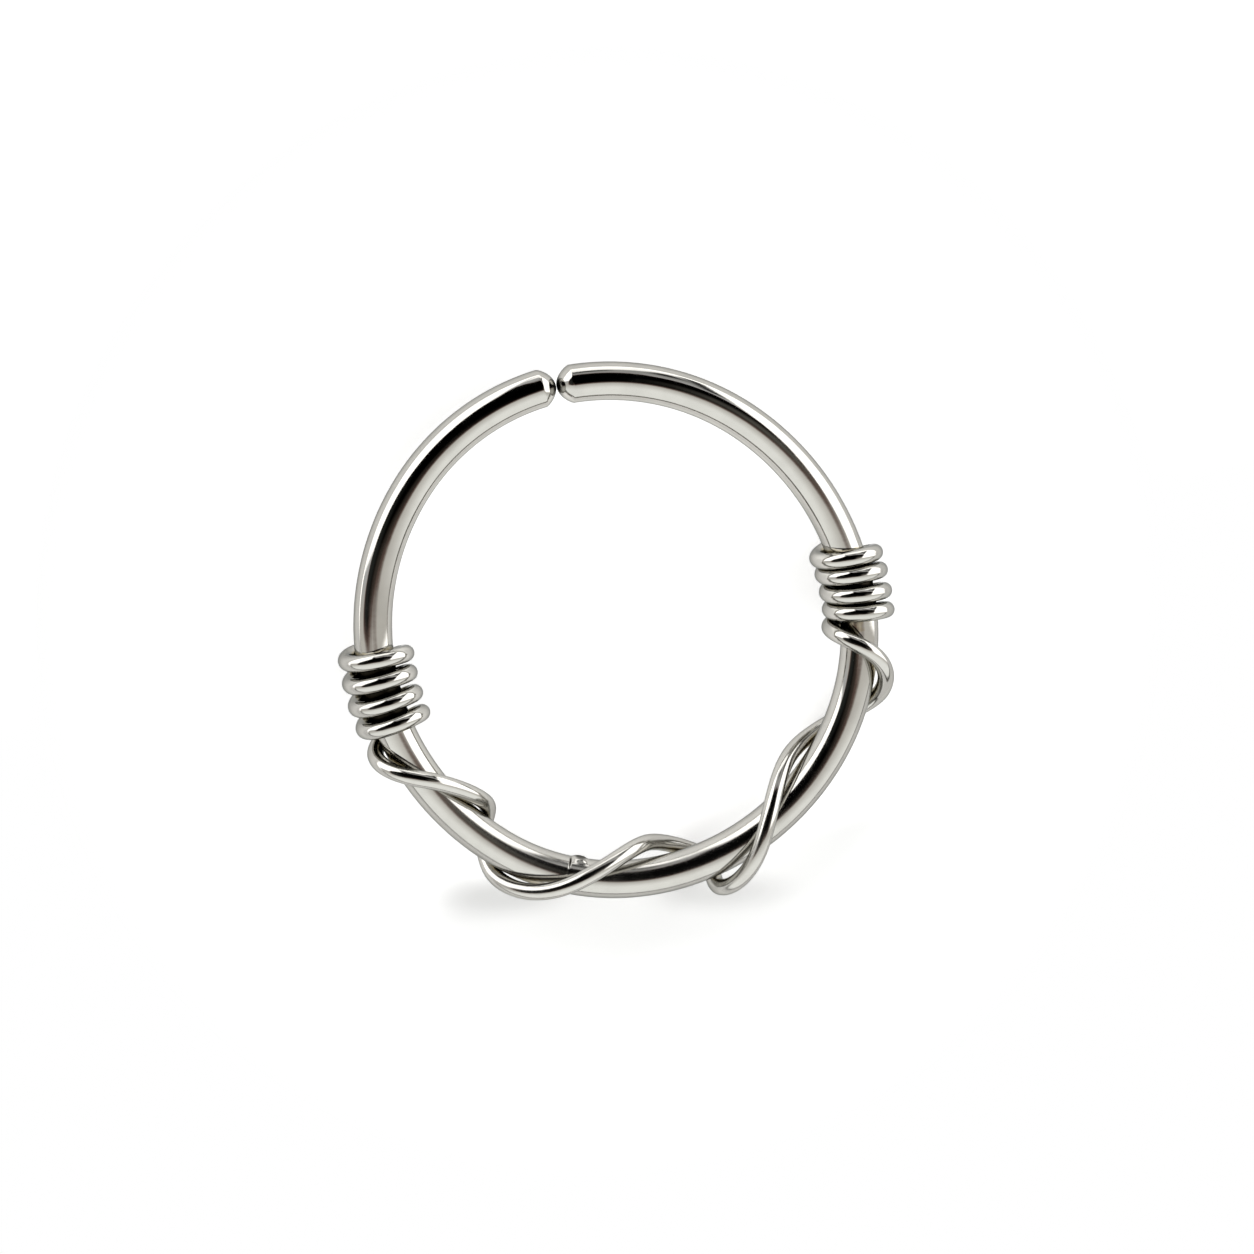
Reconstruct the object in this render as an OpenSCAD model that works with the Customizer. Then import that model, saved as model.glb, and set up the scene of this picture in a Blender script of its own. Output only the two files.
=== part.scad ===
// Twisted hoop ring for body jewellery.
// A springy round-wire hoop with an opening between two domed ends, and one finer wire
// wrapped round its lower half: a tight coil at each side and a loose spiral between them.
// The hoop lies on its side: its axis is +Z, the opening faces +Y, and Z = 0 is the surface
// that the wrapped wire rests on. The origin is under the middle of the hoop.

/* [Hoop] */
// Mean diameter of the hoop, from wire middle to wire middle
hoop_d = 13; // [13:0.5:16]
// Diameter of the hoop's round wire
hoop_wire_d = 1; // [0.9:0.05:1.2]
// How far each domed end stands out from its rim
dome_h = 0.38; // [0.24:0.02:0.44]
// Clear space between the two domed ends
end_gap = 0.03; // [0.02:0.01:0.2]

/* [Wrap wire] */
// Diameter of the wrapped wire
wrap_d = 0.44; // [0.3:0.02:0.44]
// Clear space between the hoop and a tight turn
tight_gap = 0.02; // [0.01:0.01:0.05]
// Clear space between the left coil's turns, on the hoop's inner side
left_turn_gap = 0.12; // [0.06:0.01:0.15]
// Clear space between the right coil's turns, on the hoop's inner side
right_turn_gap = 0.015; // [0.015:0.005:0.05]
// Extra space that the left coil's turns leave on the hoop's inner side
left_slack = 0.07; // [0:0.01:0.1]
// Tilt of the left coil's first turn, in degrees of hoop
left_lean = 1.35; // [0:0.05:1.8]
// Tilt of the left coil's last turn, in degrees of hoop
left_last_lean = 0.55; // [0:0.05:0.8]
// How far the hidden first end bends back towards the left coil, in degrees of hoop
first_end_bend = 1.2; // [0:0.1:1.2]
// Tilt of the right coil's first turn, in degrees of hoop; its last turn tilts back as far
right_lean = 0.5; // [0:0.1:0.6]

/* [Seam] */
// Width of the seam line round the hoop's wire
seam_w = 0.04; // [0.02:0.01:0.06]
// Depth of the seam line
seam_depth = 0.02; // [0.01:0.01:0.04]
// Length of the solder bead beside the seam
bead_l = 0.52; // [0.4:0.02:0.8]
// How far the bead stands out of the hoop's inner side
bead_h = 0.08; // [0.04:0.01:0.12]

/* [Smoothness] */
// Sides of the wrapped wire
wrap_sides = 12; // [8:4:16]
// Rings of the wrapped wire in each turn
rings_per_turn = 28; // [16:4:28]

/* [Hidden] */
$fn = 72;

hoop_r = hoop_d / 2;
hoop_wire_r = hoop_wire_d / 2;
wrap_r = wrap_d / 2;
tight_r = hoop_wire_r + tight_gap + wrap_r;
// How much lower than the coils the loose spiral's lowest turn reaches
loose_drop = 0.017;
// The hoop's wire runs at this height, so that the wrapped wire's lowest turns rest on Z = 0
hoop_z = tight_r + wrap_r + loose_drop;

// The hand-bent hoop: equal sweeps, each with its own bend radius as a share of the mean
// radius, from the left end counter-clockwise to the right end
bends = [0.92, 1.02, 1.095, 0.925, 1.005, 0.945, 1.09, 1];
bend_sweep = 44.8;
first_normal = 103;
first_centre = [-0.055, 0.092] * hoop_r;

// Places round the hoop, given as the direction of its outward normal
seam_at = 255.4;
bead_at = 258.2;

// The wrap's turns count from the left coil, and a whole turn is on the hoop's outer side. Both
// ends stop under the hoop, whole rings away from the lowest points
left_coil_end = 3.5;
right_coil_start = 8;
wrap_start = -3 / 14;
wrap_end = 11.75;
left_coil_at = 202.5;
right_coil_at = 365.3;

// The loose spiral, with one row for each quarter turn
// turn, place round the hoop, clear space under the wire
spiral = [
  [4.00, 206.5, 0.04],
  [4.25, 214.0, 0.14],
  [4.50, 228.3, 0.03],
  [4.75, 234.2, 0.02],
  [5.00, 242.2, 0.04],
  [5.25, 257.2, 0.16],
  [5.50, 276.7, 0.18],
  [5.75, 291.3, 0.02],
  [6.00, 292.4, 0.14],
  [6.25, 304.7, 0.16],
  [6.50, 322.0, 0.10],
  [6.75, 337.6, 0.02],
  [7.00, 347.9, 0.06],
  [7.25, 357.7, 0.14],
  [7.50, 362.5, 0.07]
];

function dir(a) = [cos(a), sin(a)];
function degrees_of(length) = length / hoop_r * 180 / PI;

// The hoop's middle line, a chain of arcs that meet without a kink
function bend_r(i) = hoop_r * bends[i];
function bend_start(i) = first_normal + i * bend_sweep;
function bend_centre(i) =
  i == 0 ? first_centre : bend_centre(i - 1) + (bend_r(i - 1) - bend_r(i)) * dir(bend_start(i));
CENTRES = [for (i = [0:len(bends) - 1]) bend_centre(i)];
function bend_at(a) = max(0, min(len(bends) - 1, floor((a - first_normal) / bend_sweep)));
function hoop_point(a) = CENTRES[bend_at(a)] + bend_r(bend_at(a)) * dir(a);

// How far a coil gets in some turns, in degrees of hoop: its turns keep their spacing on
// the inner side, where they are closest, and each one tilts a little less than the last
function coil_move(at, step, tilt, turns) =
  turns * (step / (bend_r(bend_at(at)) - tight_r) * 180 / PI - tilt);
function coil_place(counts, i, at, step, tilt) =
  i == 0 ? at
  : let (before = coil_place(counts, i - 1, at, step, tilt))
    before + coil_move(before, step, tilt, counts[i] - counts[i - 1]);

// Rows of the two coils, worked out from where each meets the spiral
left_counts = [left_coil_end, 2.5, 1.5, 0.5, wrap_start];
right_counts = [right_coil_start, 9, 10, 11, wrap_end];
left_tilt = (left_lean - left_last_lean) / left_coil_end;
right_tilt = 2 * right_lean / (wrap_end - right_coil_start);
left_rows = [
  for (i = [len(left_counts) - 1:-1:0])
    [left_counts[i], coil_place(left_counts, i, left_coil_at, wrap_d + left_turn_gap, left_tilt), tight_gap]
];
right_rows = [
  for (i = [0:len(right_counts) - 1])
    [right_counts[i], coil_place(right_counts, i, right_coil_at, wrap_d + right_turn_gap, right_tilt), tight_gap]
];
wrap_rows = concat(left_rows, spiral, right_rows);

// A smooth curve through the rows of one column
last_row = len(wrap_rows) - 1;
function slope(i, col) =
  let (lo = max(0, i - 1), hi = min(last_row, i + 1))
  (wrap_rows[hi][col] - wrap_rows[lo][col]) / (wrap_rows[hi][0] - wrap_rows[lo][0]);
function row_before(t, i = 0) = i >= last_row - 1 || wrap_rows[i + 1][0] > t ? i : row_before(t, i + 1);
function smooth(t, col) =
  let (
    i = row_before(t),
    step = wrap_rows[i + 1][0] - wrap_rows[i][0],
    u = (t - wrap_rows[i][0]) / step
  )
  (2 * u ^ 3 - 3 * u ^ 2 + 1) * wrap_rows[i][col]
  + (u ^ 3 - 2 * u ^ 2 + u) * step * slope(i, col)
  + (3 * u ^ 2 - 2 * u ^ 3) * wrap_rows[i + 1][col]
  + (u ^ 3 - u ^ 2) * step * slope(i + 1, col);

// The wrapped wire's middle line: round the hoop's wire as it goes along it
function share(t, from, to) = max(0, min(1, (t - from) / (to - from)));
function lean(t) =
  left_lean - left_tilt * left_coil_end * share(t, 0, left_coil_end)
  - left_last_lean * share(t, left_coil_end, left_coil_end + 0.75)
  + right_lean * (share(t, right_coil_start - 1, right_coil_start) - 2 * share(t, right_coil_start, wrap_end));
function slack(t) = t > left_coil_end + 0.5 ? 0 : left_slack * max(0, -cos(360 * t)) ^ 2;
function wrap_place(t) =
  smooth(t, 1) + lean(t) * cos(360 * t) + first_end_bend * share(t, 0, wrap_start) ^ 2;
function wrap_point(t) =
  let (
    a = wrap_place(t),
    out = hoop_wire_r + smooth(t, 2) + slack(t) + wrap_r,
    flat = hoop_point(a) + out * cos(360 * t) * dir(a)
  )
  [flat[0], flat[1], hoop_z + out * sin(360 * t)];

// A tube through a list of points, with its rings square to the line and no twist. The middle
// of each flat is r from the line, so a flat and not a corner faces the hoop and the next turn
function unit(v) = v / norm(v);
function tangents(line) = [
  for (i = [0:len(line) - 1])
    unit(line[min(len(line) - 1, i + 1)] - line[max(0, i - 1)])
];
function ring(centre, along, away, r, sides) =
  let (u = unit(away - (away * along) * along), v = cross(along, u))
  [
    for (k = [0:sides - 1])
      let (turn = 360 * (k + 0.5) / sides)
      centre + r / cos(180 / sides) * (cos(turn) * u + sin(turn) * v)
  ];
module tube(line, away, r, sides) {
  last = len(line) - 1;
  along = tangents(line);
  points = [for (i = [0:last]) each ring(line[i], along[i], away[i], r, sides)];
  walls = [
    for (i = [0:last - 1], k = [0:sides - 1])
      let (a = i * sides + k, b = i * sides + (k + 1) % sides)
      each [[a, a + sides, b], [b, a + sides, b + sides]]
  ];
  near_cap = [for (k = [0:sides - 1]) k];
  far_cap = [for (k = [sides - 1:-1:0]) last * sides + k];
  polyhedron(points, concat(walls, [near_cap, far_cap]));
}

// Places a shape at a place round the hoop, with its +Y along the hoop's wire
module at_hoop(a) {
  p = hoop_point(a);
  translate([p[0], p[1], hoop_z])
    rotate([0, 0, a])
      children();
}

// What is cut away round a domed end: all that lies outside the ball that forms the dome.
// It stops just past the tip, well before the other end
module end_cutter() {
  ball_r = (hoop_wire_r ^ 2 + dome_h ^ 2) / (2 * dome_h);
  depth = 1.05 * dome_h;
  rotate_extrude()
    difference() {
      translate([0, -depth])
        square([hoop_wire_d, depth + end_gap / 8]);
      translate([0, -ball_r])
        circle(r = ball_r);
    }
}

// The round wire of the hoop, bend by bend, with its two ends rounded at the opening
module hoop_wire() {
  last = len(bends) - 1;
  open_at = bend_start(last + 1);
  open_now = norm(hoop_point(open_at) - hoop_point(first_normal));
  trim = degrees_of((end_gap - open_now) / 2);
  tip_a = first_normal + trim / bends[0];
  tip_b = open_at - trim / bends[last];
  difference() {
    for (i = [0:last]) {
      from = i == 0 ? tip_a : bend_start(i);
      to = i == last ? tip_b : bend_start(i + 1);
      translate([CENTRES[i][0], CENTRES[i][1], hoop_z])
        rotate([0, 0, from])
          rotate_extrude(angle = to - from)
            translate([bend_r(i), 0])
              circle(r = hoop_wire_r);
    }
    at_hoop(tip_a)
      rotate([90, 0, 0])
        end_cutter();
    at_hoop(tip_b)
      rotate([-90, 0, 0])
        end_cutter();
  }
}

// A shallow groove round the wire, where its two halves were joined
module seam() {
  rotate([90, 0, 0])
    rotate_extrude()
      translate([hoop_wire_r - seam_depth, -seam_w / 2])
        square([hoop_wire_r, seam_w]);
}

// A drop of solder with round ends, sunk into the hoop's inner side
module bead() {
  bead_r = bead_l / 4;
  translate([bead_r - hoop_wire_r - bead_h, 0, 0])
    rotate([90, 0, 0])
      rotate_extrude()
        intersection() {
          union() {
            translate([0, bead_r])
              circle(r = bead_r);
            translate([0, -bead_r])
              circle(r = bead_r);
            translate([-bead_r, -bead_r])
              square(2 * bead_r);
          }
          translate([0, -bead_l])
            square(2 * bead_l);
        }
}

module hoop() {
  color("silver") {
    difference() {
      hoop_wire();
      at_hoop(seam_at)
        seam();
    }
    at_hoop(bead_at)
      bead();
  }
}

module wrap_wire() {
  turns = wrap_end - wrap_start;
  count = turns * rings_per_turn;
  times = [for (i = [0:count]) wrap_start + i * turns / count];
  line = [for (t = times) wrap_point(t)];
  away = [
    for (t = times)
      let (d = dir(wrap_place(t)))
      [cos(360 * t) * d[0], cos(360 * t) * d[1], sin(360 * t)]
  ];
  color("gainsboro")
    tube(line, away, wrap_r, wrap_sides);
}

hoop();
wrap_wire();
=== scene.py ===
"""The looks of the twisted hoop ring: its hoop, its wrapped wire and the studio round them."""

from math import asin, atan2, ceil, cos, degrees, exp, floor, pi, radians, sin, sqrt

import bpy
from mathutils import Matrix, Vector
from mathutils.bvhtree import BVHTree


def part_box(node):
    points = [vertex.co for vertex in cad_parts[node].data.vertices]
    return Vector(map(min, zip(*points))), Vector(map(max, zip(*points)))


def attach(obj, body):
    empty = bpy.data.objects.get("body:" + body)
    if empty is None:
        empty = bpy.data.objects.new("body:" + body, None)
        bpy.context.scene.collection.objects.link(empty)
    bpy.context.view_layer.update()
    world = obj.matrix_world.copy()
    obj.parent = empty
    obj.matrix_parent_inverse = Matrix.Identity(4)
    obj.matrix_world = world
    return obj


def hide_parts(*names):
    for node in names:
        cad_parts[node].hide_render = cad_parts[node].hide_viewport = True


bl_info = {
    "name": "Twisted hoop ring",
    "version": (1, 0, 0),
    "blender": (4, 5, 0),
    "location": "View3D > Sidebar > Hoop ring",
    "description": "A spring wire hoop with a finer wire wrapped round it, in polished steel",
    "category": "Object",
}

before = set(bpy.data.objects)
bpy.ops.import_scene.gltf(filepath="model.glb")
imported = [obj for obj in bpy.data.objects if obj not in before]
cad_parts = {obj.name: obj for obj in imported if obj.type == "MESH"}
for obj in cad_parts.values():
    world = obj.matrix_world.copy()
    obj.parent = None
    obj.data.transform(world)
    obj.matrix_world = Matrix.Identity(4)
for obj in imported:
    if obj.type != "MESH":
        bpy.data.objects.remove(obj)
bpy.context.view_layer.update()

MM = 0.001
HOOP_LOW, HOOP_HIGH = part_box("hoop")

# Bends of the hand-bent hoop
# Equal sweeps, each with its own bend radius as a share of the mean radius, from the left end
# counter-clockwise to the right end
BENDS = (0.92, 1.02, 1.095, 0.925, 1.005, 0.945, 1.09, 1.0)
BEND_SWEEP = 44.8
# Where the first bend starts, in degrees, and its centre as shares of the mean radius
FIRST_NORMAL = 103.0
FIRST_CENTRE = (-0.055, 0.092)

# Rings of the hoop's wire
# Degrees between two rings on plain wire, near the seam and at it
PLAIN_STEP = 1.1
NEAR_STEP = 0.2
SEAM_STEP = 0.06
# How far the closer rings reach, in seam widths and in bead lengths
SEAM_RINGS = 3
BEAD_RINGS = 0.7
# Degrees of the shortest stretch that gets rings of its own
SHORTEST_STRETCH = 0.001
# How near its plane a ring's points lie, and within how many wire radii of its middle
RING_PLANE = 0.001 * MM
RING_REACH = 1.1
# Points of a mesh that lie nearer than this become one
SAME_POINT = 0.00001 * MM

# Domed ends
# The rings of a dome, how far it goes from a ball's cap towards a bowl's, and how far before
# its rim the last ring of the straight wire lies
DOME_RINGS = 18
DOME_POINT = 0.5
RIM_ROUNDING = 0.03 * MM

# Seam, in turns round the wire from its outer side
# Where it is widest open, how far that reaches, how it slants, in degrees of hoop for a turn,
# and the share of its depth where it is closed
SEAM_TOP = 0.4
SEAM_REACH = 0.06
SEAM_SLANT = 2.5
SEAM_CLOSED = 0.05
# How often the groove's half width goes into the seam's width, and how many degrees from the
# seam the wire is shaped
GROOVE_SHARPNESS = 1.6
SHAPED_NEAR = 12

# Bead, in turns round the wire from its outer side
# Its middle and half width, the share of its height that polishing left, and its steepness
BEAD_TOP = 0.475
BEAD_REACH = 0.075
BEAD_SHARE = 0.8
BEAD_FALL = 1.5

# Painted shade in the open seam and where the domed ends meet, and a painted dark reflection on the bead's
# top
# How far it reaches from the bead's top, as a squared share of the bead's half size, how much
# of it lies there, and how far it reaches from the tips of the domed ends
BEAD_DARK_REACH = 0.5
BEAD_DARK_SHARE = 0.8
TIP_SHADE_REACH = 0.24 * MM

# Search for a point's place round the hoop
# Its passes, and how many degrees before the left tip a place still counts to the left end,
# during the search and after it
PLACE_PASSES = 4
SEARCH_MARGIN = 5
PLACE_MARGIN = 2

# Rows of the loose spiral
# turn, place round the hoop in degrees, clear space under the wire in mm
SPIRAL = (
    (4.00, 206.5, 0.04),
    (4.25, 214.0, 0.14),
    (4.50, 228.3, 0.03),
    (4.75, 234.2, 0.02),
    (5.00, 242.2, 0.04),
    (5.25, 257.2, 0.16),
    (5.50, 276.7, 0.18),
    (5.75, 291.3, 0.02),
    (6.00, 292.4, 0.14),
    (6.25, 304.7, 0.16),
    (6.50, 322.0, 0.10),
    (6.75, 337.6, 0.02),
    (7.00, 347.9, 0.06),
    (7.25, 357.7, 0.14),
    (7.50, 362.5, 0.07),
)
# Columns of the wrapped wire's rows
TURN, PLACE, GAP = range(3)

# Tight coils
# The turns of their rows, going away from the spiral, and the first row's place in degrees
LEFT_COUNTS = (3.5, 2.5, 1.5, 0.5, -3 / 14)
RIGHT_COUNTS = (8.0, 9.0, 10.0, 11.0, 11.75)
LEFT_COIL_AT = 202.5
RIGHT_COIL_AT = 365.3
# For how many turns into the spiral the left coil's lean fades, and its slack lasts
LEAN_FADES = 0.75
SLACK_LASTS = 0.5

# Rounding of a clipped wire end
# distance from the end as a share of the wire's radius, share of the wire's radius
CLIPPED_END = (
    (0.30, 1.000),
    (0.20, 0.985),
    (0.12, 0.950),
    (0.06, 0.890),
    (0.02, 0.800),
    (0.00, 0.680),
)
# How far from the end the wire's own points start again, in wire radii
CLIPPED_REACH = 0.35

# How far from the surface the look for shelter starts, how far it goes, and in how many ways
SHELTER_START = 0.004 * MM
SHELTER_REACH = 0.45 * MM
SHELTER_WAYS = 28

# Patterns in the polished steel
# Cells in a metre, or for the drawn lines in a millimetre of the stretched wire, and detail
WAVES = (700.0, 1.0)
HAZE = (1500.0, 4.0)
DENTS = (4500.0, 2.0)
GRAIN = (16000.0, 2.0)
DRAWN_LINES = (1.0, 3.0)
# Heights in micrometres
MICROMETRE = 1e-6
WAVE_HEIGHT = 5.0
DENT_HEIGHT = 0.6
GRAIN_HEIGHT = 0.14
LINE_HEIGHT = 0.25
# Strength of the haze at which it begins and is full, as dull smudges and as a darker colour,
# and that colour's share and shade
SMUDGES = (0.5, 0.75)
HAZE_DARKENS = (0.35, 0.7)
HAZE_SHARE = 0.6
HAZE_SHADE = 0.9
# Where wear begins and is full, in mm from the middle of the hoop towards its opening
WORN_UP = (-2.0, -5.5)
# What smudges, drawn lines and painted shade add to the roughness
SMUDGE_ROUGH = 0.06
LINE_ROUGH = 0.05
PAINTED_SHADE_ROUGH = 0.15
# Shelter over which painted shade grows full, before it over which painted warm reflection does, and its
# share
PAINTED_SHADE_RISE = 0.2
WARM_REFLECTION_RISE = 0.1
WARM_REFLECTION_SHARE = 0.6

# Stretch of the drawn lines along each wire and round it, and shelter at which painted shade begins
LINES_ALONG = 0.9
HOOP_LINES = 24.0
HOOP_SHADE_FROM = 0.53
WRAP_LINES = 30.0
WRAP_SHADE_FROM = 0.64

# Camera
# The angles at which it stands to the left of the hoop's axis, and above it
VIEW_LEFT = radians(10.0)
VIEW_HIGH = radians(7.5)
# What the picture's right, its viewer and its top are in the ring's own frame
VIEW_RIGHT = Vector((cos(VIEW_LEFT), 0.0, sin(VIEW_LEFT)))
VIEW_LEVEL = Vector((-sin(VIEW_LEFT), 0.0, cos(VIEW_LEFT)))
VIEW_BACK = cos(VIEW_HIGH) * VIEW_LEVEL + Vector((0.0, sin(VIEW_HIGH), 0.0))
VIEW_UP = VIEW_BACK.cross(VIEW_RIGHT)
# Where the picture's middle lies to the right of the hoop's middle and above it, how far away the
# camera stands, its film and its lens, in mm
PICTURE_MIDDLE = (0.202, 0.103)
CAMERA_AWAY = 91.03
FILM_WIDTH = 36.0
LENS = 100.3
NEAREST_SEEN = 5 * MM

# Floor
# Its size in metres, its paper's tooth in cells in a metre and detail, the shade in the tooth,
# its roughness, and the brightest light that comes through it
FLOOR_SIZE = 4.0
FLOOR_TOOTH = (400.0, 2.0)
TOOTH_SHADE = 0.995
FLOOR_ROUGH = 0.9
BRIGHTEST_GLOW = 3.0

BLACK = (0.0, 0.0, 0.0)
WHITE = (1.0, 1.0, 1.0)

# Zones of painted light on the floor, and a band below the ring with less of it, in mm: where each begins
# and where it is full
# FROM is measured from under the middle of the hoop, UP along the floor up the picture
FLOOR_UP = (-0.2, 1.0, 0.0)
FAR_FROM = (12.0, 15.0)
POOL_FROM = (6.1, 5.0)
POOL_HOLE_FROM = (3.0, 4.5)
POOL_UP = (0.5, 2.5)
INSIDE_FROM = (6.4, 5.6)
INSIDE_UP = (0.0, -2.5)
BACK_FROM = (15.0, 18.0)
BACK_UP = (0.5, 6.0)
BELOW_UP = (-6.0, -7.0)
BELOW_FROM = (11.0, 8.5)
BELOW_HOLE_FROM = (6.6, 7.4)
NEAR_FROM = (12.5, 9.0)

# Painted soft shadows on the floor below the ring
# Their middles and half sizes in mm, where they begin and are full in half sizes, how dark
SHADOWS = ((-3.1, -7.15), (2.9, -7.2))
SHADOW_WIDE = 1.6
SHADOW_DEEP = 0.5
SHADOW_FADE = (1.6, 0.2)
SHADOW_DARK = 0.8

# Studio panels, in the order in which they cover each other
# name, degrees to the right of the camera, degrees above it, half width, half height,
# soft edge, brightness
PANELS = (
    ("left softbox", -66, 50, 50, 42, 2.5, 2.7),
    ("right softbox", 80, 41, 33, 51, 2, 2.7),
    ("top softbox", 12, 80, 26, 13, 2, 2.2),
    ("grey card", 18, 55, 22, 10, 3, 0.55),
    ("dark card", 10, 61, 6, 4.5, 3, 0.12),
    ("dark clamp", 33, 64, 5, 8, 4, 0.03),
    ("dark stand", 43.5, 78, 3.5, 36, 2.5, 0.05),
)

# Table and room, in degrees above the camera: where the near table and the room begin and are full
NEAR_TABLE_ABOVE = (-8, -50)
ROOM_ABOVE = (-10, 4)

# Outline of the dark space round the camera, seen from a point in it
# degrees round from the right, degrees out to its edge
DARK_MIDDLE = (5.0, 18.0)
DARK_OUTLINE = (
    (0, 42),
    (28, 39),
    (45, 31),
    (62, 30),
    (90, 27),
    (104, 28),
    (114, 42),
    (124, 31),
    (150, 32),
    (166, 39),
    (180, 50),
    (190, 57),
    (201, 60),
    (210, 61),
    (221, 52),
    (232, 42),
    (243, 34),
    (262, 28),
    (280, 29),
    (298, 32),
    (318, 35),
    (340, 40),
    (360, 42),
)
# The ramp's stops are shares of this many degrees
OUTLINE_SCALE = 64.0
# Softness of the outline in degrees, what is added to it lower down, and the degrees above the
# camera where that begins and is full
DARK_SOFT = 1.5
DARK_SOFT_MORE = 3.0
DARK_SOFT_ABOVE = (8, -10)
# Where the brown edge and the dark space itself begin and are full, in softnesses
BROWN_EDGE = (1.9, 0.2)
BROWN = (0.2, 0.13, 0.11)
DARK_EDGE = (1.0, -1.0)

# Patches of the studio
# where it begins and is full sideways in degrees (for the table's edge, in rise over the floor),
# where it begins and is full above the camera in degrees, colour
TABLE_EDGE = ((0.12, 0.04), (-10, -30), (0.16, 0.155, 0.14))
RIGHT_PATCH = ((20, 34), (22, 0), (0.15, 0.143, 0.128))
LEFT_PATCH = ((-18, -40), (30, 0), (0.03, 0.032, 0.03))
LOW_PATCH = ((24, 8), (3, -9), (0.06, 0.048, 0.04))
# Degrees to the right of the camera of the low patch's middle
LOW_PATCH_AT = -6

# Keeps a square root above zero
TINY = 1e-9


def toward(angle):
    """The direction at an angle in degrees, flat in the hoop's plane."""
    return Vector((cos(radians(angle)), sin(radians(angle)), 0.0))


def onward(angle):
    """The direction in which the hoop runs on, counter-clockwise, at an angle in degrees."""
    return Matrix.Rotation(radians(angle), 3, "Z") @ Vector((0, 1, 0))


def share_between(value, low, high):
    """How far a value has come from low to high, from 0 to 1."""
    return max(0.0, min(1.0, (value - low) / (high - low)))


class HoopLine:
    """The hoop's middle line, a chain of arcs that meet without a kink."""

    def __init__(self, hoop):
        self.mean_r = hoop.mean_d / 2
        self.wire_r = hoop.wire_d / 2
        self.lift = Vector((0.0, 0.0, hoop.height))
        self.centres = [Vector((*FIRST_CENTRE, 0.0)) * self.mean_r]
        for i in range(1, len(BENDS)):
            step = (self.bend_r(i - 1) - self.bend_r(i)) * toward(self.bend_start(i))
            self.centres.append(self.centres[-1] + step)
        open_at = self.bend_start(len(BENDS))
        open_now = (self.point(open_at) - self.point(FIRST_NORMAL)).length
        trim = self.degrees_of((hoop.end_gap - open_now) / 2)
        self.left_tip = FIRST_NORMAL + trim / BENDS[0]
        self.right_tip = open_at - trim / BENDS[-1]
        self.left_rim = self.left_tip + self.degrees_of(hoop.dome_h) / BENDS[0]
        self.right_rim = self.right_tip - self.degrees_of(hoop.dome_h) / BENDS[-1]

    def bend_r(self, i):
        return self.mean_r * BENDS[i]

    def bend_start(self, i):
        return FIRST_NORMAL + i * BEND_SWEEP

    def bend_at(self, angle):
        return max(0, min(len(BENDS) - 1, floor((angle - FIRST_NORMAL) / BEND_SWEEP)))

    def degrees_of(self, distance):
        return degrees(distance / self.mean_r)

    def point(self, angle):
        i = self.bend_at(angle)
        return self.lift + self.centres[i] + self.bend_r(i) * toward(angle)


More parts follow.
